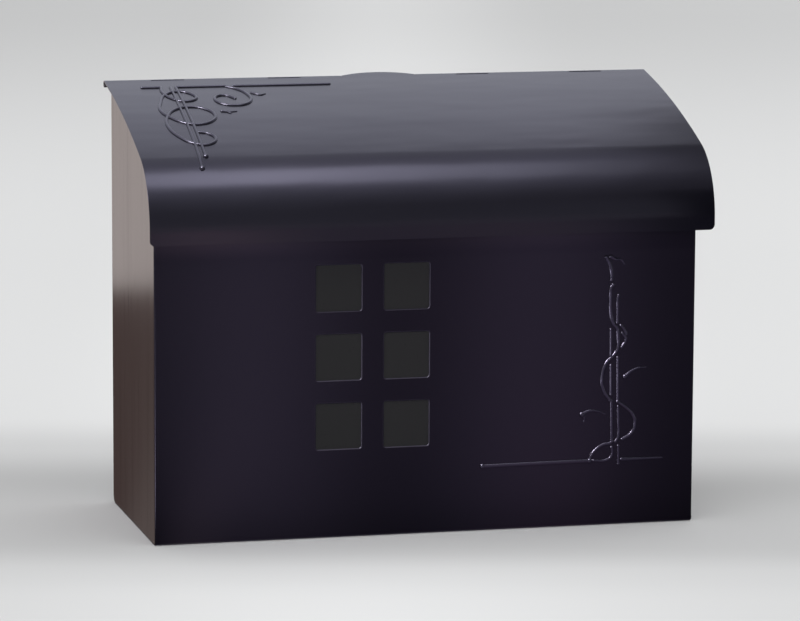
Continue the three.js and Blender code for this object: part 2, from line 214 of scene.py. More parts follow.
# %% [markdown]
# A spin can leave some faces turned inside out. So the doubles are merged and the normals are made to
# agree while the sheet is still a surface, before it gets its thickness.

# %% Facing outwards
NEAR = 0.01 * MM


def face_outwards(probe, outwards):
    """Makes the faces agree, then turns them so that the face nearest the probe points outwards."""
    bpy.ops.mesh.select_all(action="SELECT")
    bpy.ops.mesh.remove_doubles(threshold=NEAR)
    bpy.ops.mesh.normals_make_consistent(inside=False)
    shape = bmesh.from_edit_mesh(bpy.context.object.data)
    nearest = min(shape.faces, key=lambda face: (face.calc_center_median() - probe).length)
    if nearest.normal.dot(outwards) < 0:
        bpy.ops.mesh.flip_normals()


print("facing outwards is ready")

# %% [markdown]
# ## The front and bottom sheet
# One strip starts as a short flange on the back plate, runs under the box, turns up the front and ends in
# a narrow rim that leans back, which stiffens the mouth. It could be cut from a block, but folding gives
# every bend its radius at once. It is folded as a surface, because a surface is easy to trim.

# %% Fold the strip
BEND_RADIUS = 4 * MM
FLANGE_HEIGHT = 18 * MM
REAR_STEP = 0.5 * MM
RIM_RADIUS = 2 * MM
RIM_RUN = 14 * MM
RIM_SLOPE = 25
rim_angle = math.radians(RIM_SLOPE)
RIM_FOOT = sheet_high[2] - RIM_RADIUS * math.cos(rim_angle) - RIM_RUN * math.sin(rim_angle)
rear_top = Vector((0, -SHEET, UNDERSIDE + FLANGE_HEIGHT))
front_skin = start_edge("front_skin", HALF_WIDTH, rear_top)
strip_steps = [
    (FLANGE_HEIGHT - BEND_RADIUS,),
    (-90, BEND_RADIUS, 10),
    (REAR_STEP,),
    (-FRONT_Y - SHEET - 2 * BEND_RADIUS - REAR_STEP,),
    (-90, BEND_RADIUS, 10),
    (RIM_FOOT - UNDERSIDE - BEND_RADIUS,),
    (RIM_SLOPE - 90, RIM_RADIUS, 8),
    (RIM_RUN,),
]
strip_end, strip_heading = fold(rear_top, 270, strip_steps)
print(f"the strip ends at y {strip_end.y:.4f}, z {strip_end.z:.4f}, heading {strip_heading} degrees")

# %% [markdown]
# The ends of the rim and of the rear flange are notched, so that the flanges of the side panels pass
# them. A bisect cuts a line across the faces that are selected and no others, and what lies beyond it is
# deleted.

# %% Notch the corners
RELIEF_X = HALF_WIDTH - 12.5 * MM
REAR_NOTCH_Y = -SHEET - BEND_RADIUS - REAR_STEP


def in_notch(at):
    return at.z > RIM_FOOT or (at.y > REAR_NOTCH_Y and at.z < UNDERSIDE + FLANGE_HEIGHT)


for side in (-1, 1):
    pick("FACE", in_notch)
    bpy.ops.mesh.bisect(plane_co=(side * RELIEF_X, 0, 0), plane_no=(1, 0, 0))
removed = pick("FACE", lambda at: in_notch(at) and abs(at.x) > RELIEF_X)
bpy.ops.mesh.delete(type="FACE")
face_outwards(Vector((0, FRONT_Y, 0)), Vector((0, -1, 0)))
leave()
apply_modifier(front_skin, "SOLIDIFY", thickness=SHEET, offset=-1, use_even_offset=True)
print("faces removed at the corners:", removed)

# %% [markdown]
# ## The cut-outs
# Six squares are punched through the front in two columns of three, 33 mm wide and 50 mm apart, and four
# drain holes go through the bottom. A punch leaves slightly rounded corners. The holes could be inset in
# the faces, but round holes and round corners are cleaner from a tool. So one punch and one drill are
# made first, and the four long edges of the punch are bevelled.

# %% Make the punch and the drill
CUTOUT = 33 * MM
CORNER_RADIUS = 1.5 * MM
DRAIN_RADIUS = 2.5 * MM
punch = new_primitive("punch", bpy.ops.mesh.primitive_cube_add, size=CUTOUT)
edit(punch)
bevelled = pick("EDGE", lambda at: abs(at.x) > 0.4 * CUTOUT and abs(at.z) > 0.4 * CUTOUT)
bpy.ops.mesh.bevel(offset=CORNER_RADIUS, segments=5)
leave()
drill = new_primitive("drill", bpy.ops.mesh.primitive_cylinder_add, radius=DRAIN_RADIUS, depth=6 * MM,
                      vertices=32)
print("punch edges bevelled:", bevelled, "; drill", round(2 * DRAIN_RADIUS / MM, 1), "mm wide")

# %% [markdown]
# The tools are copied to each place and joined, and one Boolean takes all of them out of the sheet at
# once.

# %% Punch the squares and the drain holes
PITCH = 50 * MM
CUTOUTS_X = -41 * MM
CUTOUTS_Z = UNDERSIDE + 131.4 * MM
COLUMNS = (-0.5, 0.5)
ROWS = (-1, 0, 1)
DRAIN_X = 165 * MM
DRAIN_Y = (-145 * MM, -18 * MM)
punches = []
for column in COLUMNS:
    for row in ROWS:
        punches.append((punch, Vector((CUTOUTS_X + column * PITCH, FRONT_Y, CUTOUTS_Z + row * PITCH))))
for x in (-DRAIN_X, DRAIN_X):
    for y in DRAIN_Y:
        punches.append((drill, Vector((x, y, UNDERSIDE))))
copies = []
for tool, place in punches:
    copy = bpy.data.objects.new(f"{tool.name}_copy", tool.data.copy())
    bpy.context.collection.objects.link(copy)
    copy.location = place
    copies.append(copy)
take(copies[0])
for copy in copies:
    copy.select_set(True)
bpy.ops.object.join()
settle(copies[0])
apply_modifier(front_skin, "BOOLEAN", object=copies[0], operation="DIFFERENCE", solver="EXACT")
for tool in (punch, drill, copies[0]):
    bpy.data.objects.remove(tool)
print("front sheet after punching:", triangles(front_skin), "triangles")

# %% [markdown]
# A blunt punch draws the outer face down a little round each square, and the upright edges of the sheet
# are filed round where fingers pass. Both are bevels of the edges that lie in the outer face. An edge is
# known by its own middle, and round a square that lies on a side or just inside a corner.

# %% Round the squares' rims and the upright edges
RIM_ROUND = 0.9 * MM
UPRIGHT_ROUND = 0.8 * MM
CORNER_REACH = 0.65 * MM


def past_square(at):
    """How far a place lies outside the nearest square, negative inside it."""
    column = min(COLUMNS, key=lambda c: abs(at.x - CUTOUTS_X - c * PITCH))
    row = min(ROWS, key=lambda r: abs(at.z - CUTOUTS_Z - r * PITCH))
    across = abs(at.x - CUTOUTS_X - column * PITCH)
    up = abs(at.z - CUTOUTS_Z - row * PITCH)
    return max(across, up) - CUTOUT / 2


def on_square(at):
    return abs(at.y - FRONT_Y) < NEAR and -CORNER_REACH < past_square(at) < NEAR


edit(front_skin)
rims = pick("EDGE", on_square)
bpy.ops.mesh.bevel(offset=RIM_ROUND, segments=4)
upright = pick("EDGE", lambda at: abs(at.y - FRONT_Y) < NEAR and abs(at.x) > HALF_WIDTH - NEAR)
bpy.ops.mesh.bevel(offset=UPRIGHT_ROUND, segments=4)
leave()
print("edges rounded:", rims, "round the squares,", upright, "upright")

# %% [markdown]
# The burr of the shears is broken by a very small bevel on every edge that is still sharp. This bevel
# catches the light along the rims. A modifier finds the edges by their angle, which is quicker than
# picking them.

# %% Break the edges
def finish_sheet(piece, width):
    apply_modifier(piece, "BEVEL", width=width, segments=2, limit_method="ANGLE",
                   angle_limit=math.radians(50), use_clamp_overlap=True)
    take(piece)
    bpy.ops.object.shade_smooth_by_angle(angle=math.radians(40))
    apply_modifier(piece, "WEIGHTED_NORMAL", keep_sharp=True, weight=80)


FRONT_BURR = 0.15 * MM
finish_sheet(front_skin, FRONT_BURR)
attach(front_skin, "box")
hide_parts("front_bottom_sheet")
print("front sheet finished:", triangles(front_skin), "triangles")

# %% [markdown]
# ## The lid's line
# Seen from the side, the lid leaves the hinge almost flat, bends down in a shallow crown, turns over a
# round nose and ends in a short upright apron. The line could be drawn as a free curve, but rolls and
# brakes make arcs and straights. The crown's radius follows from how far the apron stands in front.

# %% The runs and turns of the lid
LID_SLOPE = 10.9
CROWN_TURN = 10.43
NOSE_TURN = 90 - LID_SLOPE - CROWN_TURN
NOSE_RADIUS = 54 * MM
APRON_RUN = 8.3 * MM
FLAT_RUN = 14.8 * MM
BARREL_RADIUS = 2.5 * MM
hinge = Vector((0, HINGE_Y, HINGE_Z))
lid_start = hinge + onward(90 + LID_SLOPE, BARREL_RADIUS)
lid_heading = 180 + LID_SLOPE
lid_sine = math.sin(math.radians(LID_SLOPE))
nose_sine = math.sin(math.radians(LID_SLOPE + CROWN_TURN))
flat_reach = FLAT_RUN * math.cos(math.radians(LID_SLOPE))
crown_reach = lid_start.y - lid_low[1] - flat_reach - NOSE_RADIUS * (1 - nose_sine)
CROWN_RADIUS = crown_reach / (nose_sine - lid_sine)
crown_run = CROWN_RADIUS * math.radians(CROWN_TURN)
nose_run = NOSE_RADIUS * math.radians(NOSE_TURN)
print(f"crown radius {CROWN_RADIUS / MM:.1f} mm")
print("runs, mm:", [round(run / MM, 1) for run in (FLAT_RUN, crown_run, nose_run, APRON_RUN)])

# %% [markdown]
# ## The lid
# The lid is one sheet. It is folded like the front, from an edge over the hinge. Its first run ends where
# the notches for the knuckles will end, so that they can be cut without touching the rest.

# %% Fold the lid
NOTCH = 2.9 * MM
lid_skin = start_edge("lid_skin", HALF_LID, lid_start)
lid_steps = [
    (NOTCH,),
    (FLAT_RUN - NOTCH,),
    (CROWN_TURN, CROWN_RADIUS, 20),
    (NOSE_TURN, NOSE_RADIUS, 36),
    (APRON_RUN,),
]
lid_end, end_heading = fold(lid_start, lid_heading, lid_steps)
print(f"the apron ends at y {lid_end.y:.4f}, z {lid_end.z:.4f}, heading {end_heading:.1f} degrees")

# %% [markdown]
# The rear edge is divided before anything is rolled. It is cut back where the back plate's four knuckles
# stand between the curls, and at a slit on each side of the tab in its middle. The tab gets more cuts,
# because its edge will become an arc. Bisects make all the cuts, since they keep the strip flat.

# %% Divide the rear edge
TAB_HALF = 28 * MM
TAB_PIECES = 8
SLIT = 0.5 * MM
KNUCKLES = (72 * MM, 160 * MM)
KNUCKLE_HALF = 12.3 * MM
notch_line = lid_start + onward(lid_heading, NOTCH)


def behind_notch(at):
    return (at - notch_line).dot(onward(lid_heading, 1)) < -NEAR


def is_cut_back(at):
    width = abs(at.x)
    on_slit = TAB_HALF < width < TAB_HALF + SLIT
    return on_slit or any(abs(width - centre) < KNUCKLE_HALF for centre in KNUCKLES)


cuts = [TAB_HALF, TAB_HALF + SLIT]
for centre in KNUCKLES:
    cuts += [centre - KNUCKLE_HALF, centre + KNUCKLE_HALF]
cuts += [TAB_HALF * step / TAB_PIECES for step in range(TAB_PIECES)]
for cut in cuts:
    for x in {-cut, cut}:
        pick("FACE", behind_notch)
        bpy.ops.mesh.bisect(plane_co=(x, 0, 0), plane_no=(1, 0, 0))
removed = pick("FACE", lambda at: behind_notch(at) and is_cut_back(at))
bpy.ops.mesh.delete(type="FACE")
print("stretches cut back:", removed)

# %% [markdown]
# The lid turns on a rod, so its rear edge is rolled round it in curls that almost close. A curl could be
# a tube stuck to the sheet, but a spin of the edge keeps it one sheet, as it is on the real hinge.

# %% Roll the curls
CURL_TURN = 286


def on_rear_edge(at):
    return max(abs(at.y - lid_start.y), abs(at.z - lid_start.z)) < NEAR


rolled = pick("EDGE", lambda at: on_rear_edge(at) and abs(at.x) > TAB_HALF)
bpy.ops.mesh.spin(steps=32, angle=math.radians(CURL_TURN), center=hinge, axis=(1, 0, 0))
print("edges rolled into curls:", rolled)

# %% [markdown]
# Between the curls the tab runs on, flat, and ends in a shallow arc that covers the gap at the wall. Its
# edge is extruded once for the shoulders and once more in place, and the new points are then moved out
# onto the arc.

# %% Draw out the tab
TAB_REACH = 7.8 * MM
TAB_SHOULDER = 0.6 * MM
tab_rise = TAB_REACH - TAB_SHOULDER
tab_radius = (TAB_HALF ** 2 + tab_rise ** 2) / (2 * tab_rise)
back = onward(lid_heading + 180, 1)
pick("EDGE", lambda at: on_rear_edge(at) and abs(at.x) < TAB_HALF)
bpy.ops.mesh.extrude_region_move(TRANSFORM_OT_translate={"value": back * TAB_SHOULDER})
bpy.ops.mesh.extrude_region_move(TRANSFORM_OT_translate={"value": back * 0})
shape = bmesh.from_edit_mesh(lid_skin.data)
for v in [v for v in shape.verts if v.select]:
    v.co += back * (math.sqrt(tab_radius ** 2 - v.co.x ** 2) - tab_radius + tab_rise)
bmesh.update_edit_mesh(lid_skin.data)
print("the tab's arc has a radius of", round(tab_radius / MM, 1), "mm")

# %% [markdown]
# The apron's two lower corners are rounded while the lid is a surface, because there a corner is one
# point that a vertex bevel rounds exactly. Then the sheet gets its thickness inwards, and its edges are
# broken.

# %% Round the apron's corners and thicken the sheet
APRON_CORNER = 4 * MM
LID_BURR = 0.18 * MM


def at_apron_corner(at):
    return at.z < lid_end.z + 0.1 * MM and abs(at.x) > HALF_LID - 0.1 * MM


pick("VERT", at_apron_corner)
bpy.ops.mesh.bevel(offset=APRON_CORNER, segments=8, affect="VERTICES")
face_outwards(lid_start + onward(lid_heading, 60 * MM), Vector((0, 0, 1)))
leave()
apply_modifier(lid_skin, "SOLIDIFY", thickness=SHEET, offset=-1, use_even_offset=True)
finish_sheet(lid_skin, LID_BURR)
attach(lid_skin, "lid")
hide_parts("lid_sheet")
print("lid finished:", triangles(lid_skin), "triangles")

# %% [markdown]
# ## Raised ornament
# Vine and scroll lines are pressed out of the front and of the lid from behind, as narrow rounded beads.
# They could be bump in the material, but a bead has to catch the light along its side, so it is a real
# shape. Each bead is a curve through a few places, with half an ellipse swept along it. All are drawn
# flat, in millimetres, with the height above the sheet as Z, and are laid on the sheet afterwards.

# %% The sections of the beads
FOOT_DEPTH = 0.4


def bead_section(name, half_width, height):
    """Half an ellipse over a shallow foot that sinks into the sheet: across is X and up is Y."""
    section = new_primitive(name, bpy.ops.curve.primitive_bezier_circle_add, radius=1)
    for point in section.data.splines[0].bezier_points:
        point.handle_left_type = point.handle_right_type = "FREE"
        for place in (point.co, point.handle_left, point.handle_right):
            place.x *= half_width
            place.y *= height if place.y > 0 else FOOT_DEPTH
    section.data.resolution_u = 6
    return section


base_section = bead_section("base_section", 1.6, 1.2)
vine_section = bead_section("vine_section", 1.35, 1)
stem_section = bead_section("stem_section", 1.15, 0.8)
lid_vine_section = bead_section("lid_vine_section", 1.2, 1.2)
lid_stem_section = bead_section("lid_stem_section", 1.05, 1.15)
sections = [base_section, vine_section, stem_section, lid_vine_section, lid_stem_section]
print("bead sections:", [section.name for section in sections])

# %% [markdown]
# A swept section ends in a flat cut, and a pressed bead fades out round. So each end gets a flattened
# ball, a little wider than the bead. Its lower part is squashed, so that it doesn't come out behind the
# sheet.

# %% Sweep a bead
UNDER_SHARE = 0.3


def round_end(place, radius, height):
    """A flattened ball that closes the end of a bead."""
    ball = new_primitive("ball", bpy.ops.mesh.primitive_uv_sphere_add, segments=16, ring_count=10,
                         radius=1)
    edit(ball)
    pick("VERT", lambda at: at.z < -0.01)
    bpy.ops.transform.resize(value=(1, 1, UNDER_SHARE), center_override=(0, 0, 0))
    bpy.ops.mesh.select_all(action="SELECT")
    bpy.ops.transform.resize(value=(radius, radius, height), center_override=(0, 0, 0))
    bpy.ops.transform.translate(value=(*place, 0))
    leave()
    return ball


def bead(places, section, thin_to=1, cap=1.12):
    """A bead through these places, with round ends. thin_to is the share of its size that is left at its
    end, and cap the size of the round ends."""
    line = new_primitive("bead", bpy.ops.curve.primitive_bezier_curve_add)
    spline = line.data.splines[0]
    spline.bezier_points.add(len(places) - 2)
    for number, (point, (x, y)) in enumerate(zip(spline.bezier_points, places)):
        point.co = (x, y, 0)
        point.handle_left_type = point.handle_right_type = "AUTO"
        point.radius = 1 + (thin_to - 1) * number / (len(places) - 1)
    line.data.dimensions = "3D"
    line.data.twist_mode = "Z_UP"
    line.data.resolution_u = 7
    line.data.bevel_mode = "OBJECT"
    line.data.bevel_object = section
    line.data.use_fill_caps = True
    take(line)
    bpy.ops.object.convert(target="MESH")
    swept = [bpy.context.object]
    width = max(point.co.x for point in section.data.splines[0].bezier_points)
    height = max(point.co.y for point in section.data.splines[0].bezier_points)
    for place, share in ((places[0], 1), (places[-1], thin_to)):
        swept.append(round_end(place, width * cap * share, height * cap * share))
    return swept


def join_pieces(name, parts):
    take(parts[0])
    for part in parts:
        part.select_set(True)
    bpy.ops.object.join()
    whole = bpy.context.object
    whole.name = name
    whole.data.name = name
    return whole


print("bead steps are ready")

# %% [markdown]
# The front carries a tall stem with tendrils, rooted in a long base line. Where one line passes another
# the lower one stops a little short, as if it went underneath. Places are (x, height above the underside)
# in mm.

# %% The lines on the front
front_bases = [
    [(41, 47.6), (80, 47.9), (121.6, 48.2)],
    [(145.9, 48.3), (176.6, 48.3)],
]
front_vines = [
    [(121.6, 49), (123, 52.2), (126.4, 56.4), (131.6, 59.6), (137.4, 60.8), (138.8, 62)],
    [(132.4, 197.6), (134.9, 192.6), (136.5, 187), (136.7, 180.7)],
    [(138.2, 177.1), (136.6, 175.4), (136.1, 168), (136.4, 157), (138.2, 149), (141.2, 145.2), (142, 140),
     (142, 130.6), (139.8, 126.4), (133, 119.2), (130.2, 108), (131.6, 99.6), (136.4, 92.5)],
    [(142.4, 91), (148.4, 86.8), (153.4, 81.8), (155.7, 74.4), (153.4, 67.8), (146.4, 63.2)],
]
front_stems = [
    [(142.2, 169.2), (141.6, 168), (141.5, 158), (141.4, 149.2)],
    [(136.7, 144.2), (136.9, 125.2)],
    [(137, 118), (137.3, 96.4)],
    [(137.7, 92), (138.2, 62.8)],
    [(138.3, 57.6), (138.2, 51), (134.6, 48.3), (124.4, 48.3)],
    [(142.1, 123.6), (142.5, 91.6)],
    [(142.8, 87.4), (143.1, 75), (143, 65), (141.2, 61.6)],
    [(143.2, 58.4), (143.5, 45.2)],
    [(144.2, 147.2), (146.6, 144.2), (148.4, 140.4)],
    [(145.4, 141.4), (148, 136.8), (145, 131)],
]
front_leaves = [
    [(147.8, 109.4), (152.5, 113.2), (157.9, 115.4), (163.3, 115.7)],
    [(115.4, 82.8), (121, 85), (127.6, 84.6), (133, 82.1)],
    [(115.8, 82.4), (117.3, 79.8), (117, 77.2)],
]
front_hook = [(135.8, 197.9), (139.7, 195.8), (143, 195.6), (146.6, 191.8)]
print("lines on the front:", len(front_bases + front_vines + front_stems + front_leaves) + 1)

# %% [markdown]
# Each kind of line gets its own section: the base line is the widest, the vine follows, and the straight
# stems are the thinnest. Leaves start as wide as the base and thin out. The whole is then stood up
# against the front.

# %% Press the ornament into the front
parts = bead(front_bases[0], base_section, cap=1.3)
parts += bead(front_bases[1], base_section, thin_to=0.5, cap=0.95)
for places in front_vines:
    parts += bead(places, vine_section)
for places in front_stems:
    parts += bead(places, stem_section)
for places in front_leaves:
    parts += bead(places, base_section, thin_to=0.3, cap=1.25)
parts += bead(front_hook, base_section, thin_to=0.3, cap=0.95)
front_ornament = join_pieces("front_ornament", parts)
for v in front_ornament.data.vertices:
    x, up, out = v.co
    v.co = (x * MM, FRONT_Y - out * MM, UNDERSIDE + up * MM)
print("front ornament:", len(parts), "parts,", triangles(front_ornament), "triangles")

# %% [markdown]
# The corner of the lid carries two straight stems with a looping vine over them, a scroll, and a straight
# bar along the hinge. Places are (x, distance from the hinge along the sheet) in mm, so the drawing is
# flat and is then wrapped on the lid's line. A shrinkwrap could do that too, but walking the same runs
# and turns keeps every length along the sheet true.

# %% A place on the lid
def on_lid(along):
    """The place and the outward direction at a distance from the hinge along the lid's outer face."""
    place, heading = lid_start, lid_heading
    for step in lid_steps:
        if len(step) == 1:
            length = step[0]
            if along <= length:
                return place + onward(heading, along), onward(heading - 90, 1)
            place = place + onward(heading, length)
        else:
            turn, radius, _ = step
            length = radius * math.radians(turn)
            if along <= length:
                part = turn * along / length
                return after_turn(place, heading, part, radius), onward(heading + part - 90, 1)
            place = after_turn(place, heading, turn, radius)
            heading += turn
        along -= length
    return place, onward(heading - 90, 1)


print("150 mm along the lid:", [round(c, 4) for c in on_lid(150 * MM)[0]])

# %% [markdown]
# The vine is one long line that loops over both stems. A stem ends in a small ball, and the bar is made
# of short stretches that stop where the vine and the stems pass.

# %% Press the vine, the scroll and the bar into the lid
STEM_BALL = 2.1
lid_vines = [
    [(-168.4, 20), (-169.6, 31.8), (-164.8, 46.6), (-156.5, 52.1), (-147.6, 47.2), (-148.5, 37.9),
     (-156.5, 30.5), (-167, 35.6), (-175.6, 56), (-178, 70), (-172.3, 85), (-162.1, 95.1), (-152, 96),
     (-143, 89.6), (-140.2, 81), (-144.6, 69), (-155.9, 63.6), (-167, 68.5), (-175.3, 82), (-178.1, 98.7),
     (-173.2, 116.9), (-162.1, 129.3), (-154, 129.8), (-147.8, 122), (-151.4, 112.4), (-157.5, 109.8)],
    [(-120, 21.3), (-112.2, 29), (-107.9, 40.6), (-107.6, 52), (-113.4, 60.4), (-121.4, 62.4), (-130.3, 59),
     (-134, 50), (-131, 42.6), (-124.8, 41.2), (-118.8, 48.4)],
    [(-182.5, 20), (-169.6, 20)],
    [(-157, 20), (-121, 20)],
    [(-114.5, 20), (-80, 20), (-42, 20)],
]
lid_stems = [
    [(-161.5, 20), (-163, 70), (-164, 120), (-165.2, 162)],
    [(-157.5, 20), (-158.6, 70), (-159.4, 110), (-160.2, 148)],
]
lid_leaves = [
    [(-104.2, 36.6), (-98.8, 41.6), (-94.6, 39.6)],
    [(-133.8, 73.4), (-129.5, 74.6), (-123, 74.1)],
    [(-129.5, 74.6), (-127.8, 78.2)],
]
parts = []
for places in lid_vines:
    parts += bead(places, lid_vine_section, cap=0.95)
for places in lid_stems:
    parts += bead(places, lid_stem_section, cap=0.95)
    parts.append(round_end(places[-1], STEM_BALL, STEM_BALL))
for places in lid_leaves:
    parts += bead(places, lid_vine_section, thin_to=0.5, cap=0.95)
lid_ornament = join_pieces("lid_ornament", parts)
for v in lid_ornament.data.vertices:
    x, along, out = v.co
    place, outwards = on_lid(along * MM)
    v.co = place + outwards * out * MM + Vector((x * MM, 0, 0))
print("lid ornament:", len(parts), "parts,", triangles(lid_ornament), "triangles")

# %% [markdown]
# Laying the flat drawing on the front mirrors it in depth, so the normals are made to point outwards
# again. Each ornament then moves with the sheet that it belongs to, and the sections have done their
# work.

# %% Smooth the beads and fix them to their sheets
for ornament, body in ((front_ornament, "box"), (lid_ornament, "lid")):
    edit(ornament)
    bpy.ops.mesh.select_all(action="SELECT")
    bpy.ops.mesh.normals_make_consistent(inside=False)
    leave()
    take(ornament)
    bpy.ops.object.shade_smooth_by_angle(angle=math.radians(60))
    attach(ornament, body)
for section in sections:
    bpy.data.objects.remove(section)
print("ornament fixed")

# %% [markdown]
# ## Materials
# Colours are written as they look on a screen and turned into the linear values that Blender counts with.
# All patterns are made from nodes and read Object coordinates, so they need no image and stay on their
# piece. One helper adds a node with its settings and its links.

# %% Colours and nodes
def linear(code):
    """A hex colour as linear red, green, blue and alpha."""
    parts = [int(code[i:i + 2], 16) / 255 for i in (1, 3, 5)]
    return [p / 12.92 if p <= 0.04045 else ((p + 0.055) / 1.055) ** 2.4 for p in parts] + [1]


def new_material(name):
    material = bpy.data.materials.new(name)
    material.use_nodes = True
    shader = material.node_tree.nodes["Principled BSDF"]
    return material, shader


def join(material, output, socket):
    material.node_tree.links.new(output, socket)


def add_node(material, kind, links={}, stops=(), between="EASE", **settings):
    """Adds one node. links names the output that feeds a socket. A setting that is a socket sets the
    socket, and any other sets a property. stops are a ramp's places, each with a colour code or a plain
    strength, and between is how the ramp goes from stop to stop."""
    node = material.node_tree.nodes.new(kind)
    for key, value in settings.items():
        socket = key.replace("_", " ").title()
        if socket in node.inputs and not hasattr(node, key):
            node.inputs[socket].default_value = value
        else:
            setattr(node, key, value)
    if stops:
        node.color_ramp.interpolation = between
        elements = node.color_ramp.elements
        while len(elements) < len(stops):
            elements.new(0.5)
        for element, (position, value) in zip(elements, stops):
            element.position = position
            element.color = linear(value) if isinstance(value, str) else (value, value, value, 1)
    for socket, output in links.items():
        join(material, output, node.inputs[socket])
    return node


print("dark bronze is", [round(c, 3) for c in linear("#3f3b46")[:3]])

# %% [markdown]
# ## Brushed, stained and lacquered steel
# The sheets are mild steel. They are brushed, stained dark bronze and sealed with a satin lacquer. The
# brush leaves fine scratches in one direction, which stretch every highlight across them. Folding leaves
# long shallow waves, so a highlight along a bend isn't quite even, and the stain dries a little darker in
# broad bands. The scratches could be a picture of them, but stretched noise works at any size. It drives
# a fine bump, a slight change of gloss and the tint at grazing angles. A real scratch is a tenth of a
# millimetre wide or less and wouldn't show from here, so all of them are drawn as coarse as they need to
# be.

# %% Brushed and stained steel
WAVE_SIZE = (111.11, 38.46, 38.46)
POOL_SPACING = 225


def brushed_bronze(name, grain, colour, roughness, scratch, streak, cloud=0, wave=0):
    """grain is the size of the scratches along x, y and z in millimetres, scratch the strength of their
    bump, streak how far they change gloss and tint, cloud how far the stain's depth varies, and wave how
    many millimetres the sheet waves."""
    material, shader = new_material(name)
    shader.inputs["Metallic"].default_value = 1
    place = add_node(material, "ShaderNodeTexCoord").outputs["Object"]
    scratches_at = add_node(material, "ShaderNodeMapping", links={"Vector": place},
                            scale=[1 / (size * MM) for size in grain])
    scratches = add_node(material, "ShaderNodeTexNoise", scale=1, detail=5, roughness=0.6,
                         links={"Vector": scratches_at.outputs["Vector"]}).outputs["Fac"]
    gloss = add_node(material, "ShaderNodeMapRange", links={"Value": scratches}, from_min=0.3, from_max=0.7,
                     to_min=roughness * (1 - streak), to_max=roughness * (1 + streak))
    join(material, gloss.outputs["Result"], shader.inputs["Roughness"])
    tint = add_node(material, "ShaderNodeMapRange", links={"Value": scratches}, from_min=0.3, from_max=0.7,
                    to_min=1 - streak, to_max=1 + streak)
    join(material, tint.outputs["Result"], shader.inputs["Specular Tint"])
    relief = add_node(material, "ShaderNodeBump", links={"Height": scratches}, strength=scratch,
                      distance=0.02 * MM)
    join(material, relief.outputs["Normal"], shader.inputs["Normal"])
    if wave:
        waves_at = add_node(material, "ShaderNodeMapping", links={"Vector": place},
                            scale=[1 / (size * MM) for size in WAVE_SIZE])
        waves = add_node(material, "ShaderNodeTexNoise", scale=1, detail=2, roughness=0.5,
                         links={"Vector": waves_at.outputs["Vector"]})
        swell = add_node(material, "ShaderNodeBump", links={"Height": waves.outputs["Fac"]}, strength=1,
                         distance=wave * MM)
        join(material, swell.outputs["Normal"], relief.inputs["Normal"])
    if cloud:
        # The wave texture repeats every 0.314 m at a scale of 1.
        pools = add_node(material, "ShaderNodeTexWave", links={"Vector": place}, distortion=0.4, detail=1,
                         scale=math.pi / 10 / (POOL_SPACING * MM), phase_offset=0.486)
        depth = add_node(material, "ShaderNodeMapRange", links={"Value": pools.outputs["Fac"]},
                         to_min=1 - cloud, to_max=1 + cloud)
        stain = add_node(material, "ShaderNodeVectorMath", operation="SCALE",
                         links={"Scale": depth.outputs["Result"]})
        stain.inputs[0].default_value = linear(colour)[:3]
        join(material, stain.outputs["Vector"], shader.inputs["Base Color"])
    else:
        shader.inputs["Base Color"].default_value = linear(colour)
    return material


# Brushed across and stained in broad bands: a dark violet sheen, darker in the middle.
bronze_front = brushed_bronze("dark_bronze_brushed_front", (50, 2 / 3, 2 / 3), "#3e3a43", 0.26, 0.04, 0.02,
                              cloud=0.3, wave=0.02)
# Brushed along the hinge and rolled: a long highlight that wavers a little.
bronze_lid = brushed_bronze("dark_bronze_brushed_lid", (83.33, 3.333, 3.333), "#3f3d45", 0.25, 0.04, 0.05,
                            cloud=0.04, wave=0.7)
# Brushed upright: a warmer, glossier side with faint upright streaks.
bronze_upright = brushed_bronze("dark_bronze_brushed_upright", (5.556, 5.556, 400), "#443b3d", 0.18, 0.2,
                                0.2, cloud=0.03, wave=0.05)
print("materials:", bronze_front.name, bronze_lid.name, bronze_upright.name)

# %% [markdown]
# The raised lines and the drawn rims of the squares are coloured lighter than the sheet round them. This
# lighter colour is a painted highlight, so they shine brighter than their shape alone makes them. The punch
# has also left the rims duller. These spots are small, so they have no bands and no waves, and their
# scratches run every way.

# %% Painted highlights on the lines and the rims
EVEN_GRAIN = (2.5, 2.5, 2.5)
# Lighter than the front sheet: a painted highlight along the raised lines.
front_lines_painted_highlight = brushed_bronze("dark_bronze_front_lines_painted_highlight", EVEN_GRAIN, "#5f5b67", 0.22, 0.03, 0.02)
# Lighter than the lid: a painted highlight along the lid's raised lines.
lid_lines_painted_highlight = brushed_bronze("dark_bronze_painted_highlight_lid_lines", EVEN_GRAIN, "#4f4d56", 0.3, 0.03, 0.02)
# Lighter and rougher than the front: a painted highlight on the rims of the squares.
rims_painted_highlight = brushed_bronze("dark_bronze_painted_highlight_rims", EVEN_GRAIN, "#49464f", 0.5, 0.03, 0.02)
print("materials:", front_lines_painted_highlight.name, lid_lines_painted_highlight.name, rims_painted_highlight.name)

# %% [markdown]
# ## Zinc, acrylic and rubber
# Rod, studs and push nuts are steel with bright zinc plating, the pane is smoked acrylic sheet, and the
# bumpers are moulded rubber. None is one flat value: a fine grain varies the gloss and lifts the surface
# a little. The grain is the size of a zinc crystal, of the ripple in cast acrylic, and of a mould's grit.

